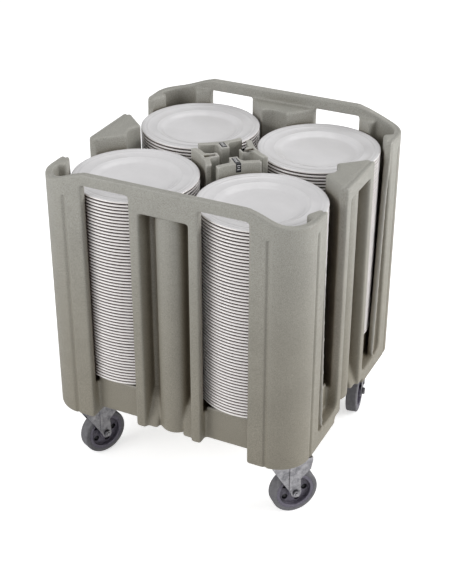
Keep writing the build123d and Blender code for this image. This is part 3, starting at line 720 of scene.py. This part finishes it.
def label_print(corner):
    """Plain tick marks on a size label; the front one also wraps down over the stack side of its divider."""
    sx, sy = SIDES[corner]
    outward = Vector((sx * STACK_X, sy * STACK_Y, 0)).normalized()
    across = UP.cross(outward)
    low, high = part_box(f"size_label_{corner}")
    middle = (low + high) / 2
    middle.z = high.z
    ticks = []
    for index, length in enumerate(TICKS):
        place = middle + outward * ((index - len(TICKS) // 2) * TICK_PITCH) + UP * TICK_RAISE
        ticks.append(bar(place, outward, across, UP, (TICK_WIDTH, length, TICK_HEIGHT)))
    if corner == "front_right":
        face = outward * DIVIDER_FACE
        face.z = DIVIDER_TOP
        cap = bar(face - outward * 0.0035 - UP * 0.0004, outward, across, UP, (0.0080, WRAP_WIDTH, 0.0018))
        drop = bar(face - outward * 0.0002 - UP * 0.0115, outward, across, UP, (0.0014, WRAP_WIDTH, 0.0235))
        bars(f"label_wrap_{corner}", [cap, drop], "label_plastic", f"divider_{corner}")
        for index, length in enumerate(WRAP_TICKS):
            fall = WRAP_TICK_FIRST + index * WRAP_TICK_PITCH
            place = face + outward * WRAP_TICK_RAISE - UP * fall
            ticks.append(bar(place, outward, across, UP, (WRAP_TICK_HEIGHT, length, TICK_WIDTH)))
    bars(f"label_ticks_{corner}", ticks, "label_plastic", f"divider_{corner}", finish="label_mark")


def dividers():
    """All four dividers with their tongues, then the labels on two of them."""
    for corner in SIDES:
        polished(f"divider_{corner}", f"divider_{corner}", DIVIDER_EDGE, finish="divider_plastic")
        polished(f"divider_tongue_{corner}", f"divider_{corner}", TONGUE_EDGE)
    for corner in LABELLED:
        polished(f"size_label_{corner}", f"divider_{corner}", LABEL_EDGE)
        label_print(corner)


# ---------------------------------------------------------------- stage, light and camera
CAMERA_AT = Vector((1.28471, -2.65655, 2.15199))
CAMERA_AZIMUTH = 25.97
CAMERA_ELEVATION = 30.05
LENS = 77.7
SENSOR_WIDTH = 36.0
SURROUND_LIGHT = 0.50                   # on surfaces; the camera sees plain white
FLOOR_HALF = 40.0                       # half its width: its edge lies out of every view
FLOOR_GLOW = 0.56                       # for the camera only
LAMP_TARGET = (0, 0, 0.5)
LAMPS = (("key", (-1.9, -2.9, 2.3), 2.2, 60),       # name, place, diameter and power
         ("side", (3.4, 1.0, 1.7), 2.2, 84),
         ("top", (0.3, 1.2, 3.6), 2.6, 18))


def plain_background():
    """White for the camera and through glass; soft grey-white light for surfaces."""
    world = bpy.data.worlds.new("studio")
    bpy.context.scene.world = world
    world.use_nodes = True
    tree = world.node_tree
    background = tree.nodes["Background"]
    background.inputs["Color"].default_value = (*WHITE, 1)
    path = tree.nodes.new("ShaderNodeLightPath")
    seen = add_node(tree, "ShaderNodeMath", operation="MAXIMUM")
    tree.links.new(path.outputs["Is Camera Ray"], seen.inputs[0])
    tree.links.new(path.outputs["Is Transmission Ray"], seen.inputs[1])
    level = tree.nodes.new("ShaderNodeMix")
    level.inputs[2].default_value = SURROUND_LIGHT
    level.inputs[3].default_value = 1.0
    tree.links.new(seen.outputs[0], level.inputs[0])
    tree.links.new(level.outputs[0], background.inputs["Strength"])


def pale_floor():
    """Floor that shows white to the camera but keeps a soft contact shadow."""
    mesh = bpy.data.meshes.new("floor")
    corners = [(x * FLOOR_HALF, y * FLOOR_HALF, 0) for x, y in ((-1, -1), (1, -1), (1, 1), (-1, 1))]
    mesh.from_pydata(corners, [], [(0, 1, 2, 3)])
    floor = bpy.data.objects.new("floor", mesh)
    bpy.context.scene.collection.objects.link(floor)
    mat, tree, shader = material("floor_paint", roughness=0.8, specular=0.1)
    place = place_texture(tree)
    colour = ramp(tree, noise(tree, place, scale=3, detail=2.0, rough=0.5), [(0.3, 0.90), (0.7, 0.92)])
    tree.links.new(colour, shader.inputs["Base Color"])
    glow = tree.nodes.new("ShaderNodeEmission")
    path = tree.nodes.new("ShaderNodeLightPath")
    blend = tree.nodes.new("ShaderNodeAddShader")
    strength = add_node(tree, "ShaderNodeMath", operation="MULTIPLY")
    strength.inputs[1].default_value = FLOOR_GLOW
    tree.links.new(path.outputs["Is Camera Ray"], strength.inputs[0])
    tree.links.new(strength.outputs[0], glow.inputs["Strength"])
    tree.links.new(shader.outputs[0], blend.inputs[0])
    tree.links.new(glow.outputs[0], blend.inputs[1])
    tree.links.new(blend.outputs[0], tree.nodes["Material Output"].inputs["Surface"])
    mesh.materials.append(mat)


def lamp(name, place, size, power):
    """Round soft lamp that points at the middle of the cart."""
    light = bpy.data.lights.new(name, "AREA")
    light.shape = "DISK"
    light.size = size
    light.energy = power
    lamp_object = bpy.data.objects.new(name, light)
    lamp_object.location = place
    direction = Vector(LAMP_TARGET) - Vector(place)
    lamp_object.rotation_euler = direction.to_track_quat("-Z", "Y").to_euler()
    bpy.context.scene.collection.objects.link(lamp_object)


def photo_camera():
    """Camera as fitted to the photo."""
    azimuth, elevation = radians(CAMERA_AZIMUTH), radians(CAMERA_ELEVATION)
    back = Vector((sin(azimuth) * cos(elevation), -cos(azimuth) * cos(elevation), sin(elevation)))
    right = Vector((cos(azimuth), sin(azimuth), 0))
    up = back.cross(right)
    data = bpy.data.cameras.new("camera")
    data.lens = LENS
    data.sensor_width = SENSOR_WIDTH
    data.sensor_fit = "AUTO"
    camera = bpy.data.objects.new("camera", data)
    turn = Matrix((right, up, back)).transposed().to_4x4()
    camera.matrix_world = Matrix.Translation(CAMERA_AT) @ turn
    bpy.context.scene.collection.objects.link(camera)
    bpy.context.scene.camera = camera


def studio():
    """Background, floor, lamps and camera."""
    plain_background()
    pale_floor()
    for name, place, size, power in LAMPS:
        lamp(name, place, size, power)
    photo_camera()
    bpy.context.scene.view_settings.view_transform = "Standard"


studio()
tub()
plates()
casters()
dividers()
